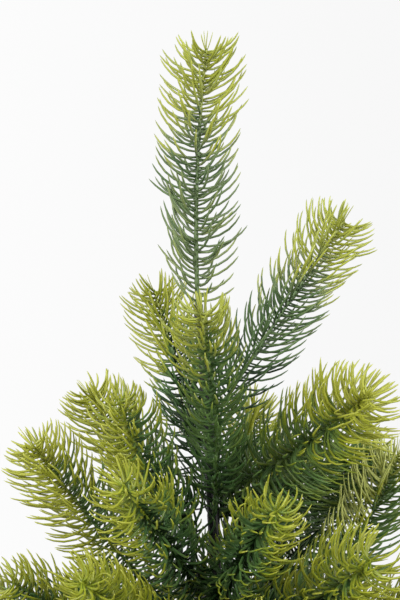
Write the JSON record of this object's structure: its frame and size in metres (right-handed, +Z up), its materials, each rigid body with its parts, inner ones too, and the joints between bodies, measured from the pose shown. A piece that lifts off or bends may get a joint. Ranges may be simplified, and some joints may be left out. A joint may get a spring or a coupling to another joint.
{
  "type": "artificial christmas tree",
  "caption": "Small artificial Christmas tree: bottlebrush sprays of moulded green needles rise in tiers round a slim black pole to a tall leader, on a plain low legged stand.",
  "frame": {"origin": "centre of the stand's flat underside, straight under the pole's foot", "axes": "+Z up along the pole, -Y towards the viewer of the picture and +X to that viewer's right"},
  "size_m": [0.4918, 0.4915, 0.7529],
  "materials": {
    "needles": "moulded polyethylene, satin, dark green at the roots and yellow-green at the tips",
    "pole": "semi-gloss black lacquer",
    "stand": "fine moulded grain, black",
    "knob": "satin black"
  },
  "bodies": {
    "root": {"stand_socket": "stand", "stand_leg_1": "stand", "stand_leg_2": "stand", "stand_leg_3": "stand", "stand_leg_4": "stand", "stand_knob": "knob", "pole": "pole", "leader": "needles", "spray_a1": "needles", "spray_a2": "needles", "spray_a3": "needles", "spray_b1": "needles", "spray_b2": "needles", "spray_b3": "needles", "spray_b4": "needles", "spray_b5": "needles", "spray_c1": "needles", "spray_c2": "needles", "spray_c3": "needles", "spray_c4": "needles", "spray_d1": "needles", "spray_d2": "needles", "spray_d3": "needles", "spray_d4": "needles", "spray_d5": "needles", "spray_d6": "needles", "spray_d7": "needles", "spray_d8": "needles", "branch_e1": "needles", "branch_e2": "needles", "branch_e3": "needles", "branch_e4": "needles", "branch_e5": "needles", "branch_e6": "needles", "branch_e7": "needles", "branch_f1": "needles", "branch_f2": "needles", "branch_f3": "needles", "branch_f4": "needles", "branch_f5": "needles", "branch_f6": "needles", "branch_f7": "needles", "branch_f8": "needles", "branch_g1": "needles", "branch_g2": "needles", "branch_g3": "needles", "branch_g4": "needles", "branch_g5": "needles", "branch_g6": "needles", "branch_g7": "needles", "branch_g8": "needles", "branch_h1": "needles", "branch_h2": "needles", "branch_h3": "needles", "branch_h4": "needles", "branch_h5": "needles", "branch_h6": "needles", "branch_h7": "needles", "branch_h8": "needles"}
  },
  "joints": []
}
